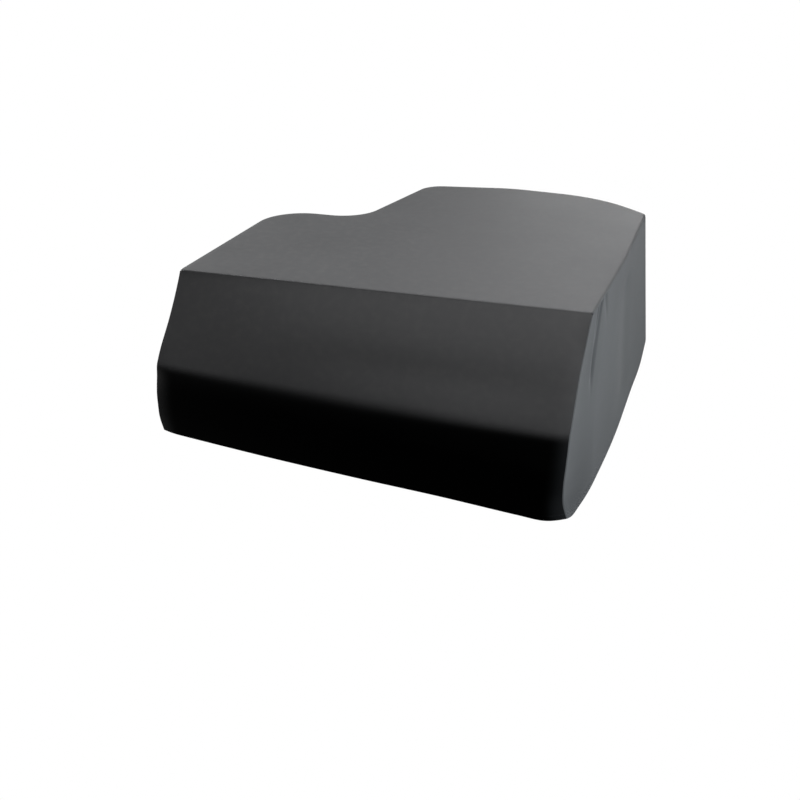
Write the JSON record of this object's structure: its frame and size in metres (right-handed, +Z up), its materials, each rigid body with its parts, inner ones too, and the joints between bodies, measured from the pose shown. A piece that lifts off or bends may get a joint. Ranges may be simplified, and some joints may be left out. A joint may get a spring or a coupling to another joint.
{
  "type": "grand piano cover",
  "caption": "Fitted black cloth dust cover that hangs over a closed grand piano, with a flat top, a front that slopes out over the key shelf, and a loose skirt.",
  "frame": {"origin": "on the underside of the top, on the centre line of the lid, 0.62 m behind its keyboard edge: where the closed lid carries the cloth", "axes": "+X to the right along the keyboard edge as seen by someone facing the keyboard, +Y from the keyboard towards the tail, +Z up"},
  "size_m": [1.5488, 1.7254, 0.6873],
  "materials": {
    "top_cloth": "smooth black satin-faced cloth",
    "front_cloth": "smooth black satin-faced cloth",
    "spine_cloth": "smooth black satin-faced cloth",
    "curved_side_cloth": "smooth black satin-faced cloth"
  },
  "bodies": {
    "root": {"top_panel": "top_cloth", "front_panel": "front_cloth", "spine_panel": "spine_cloth", "curved_side_panel": "curved_side_cloth"}
  },
  "joints": []
}
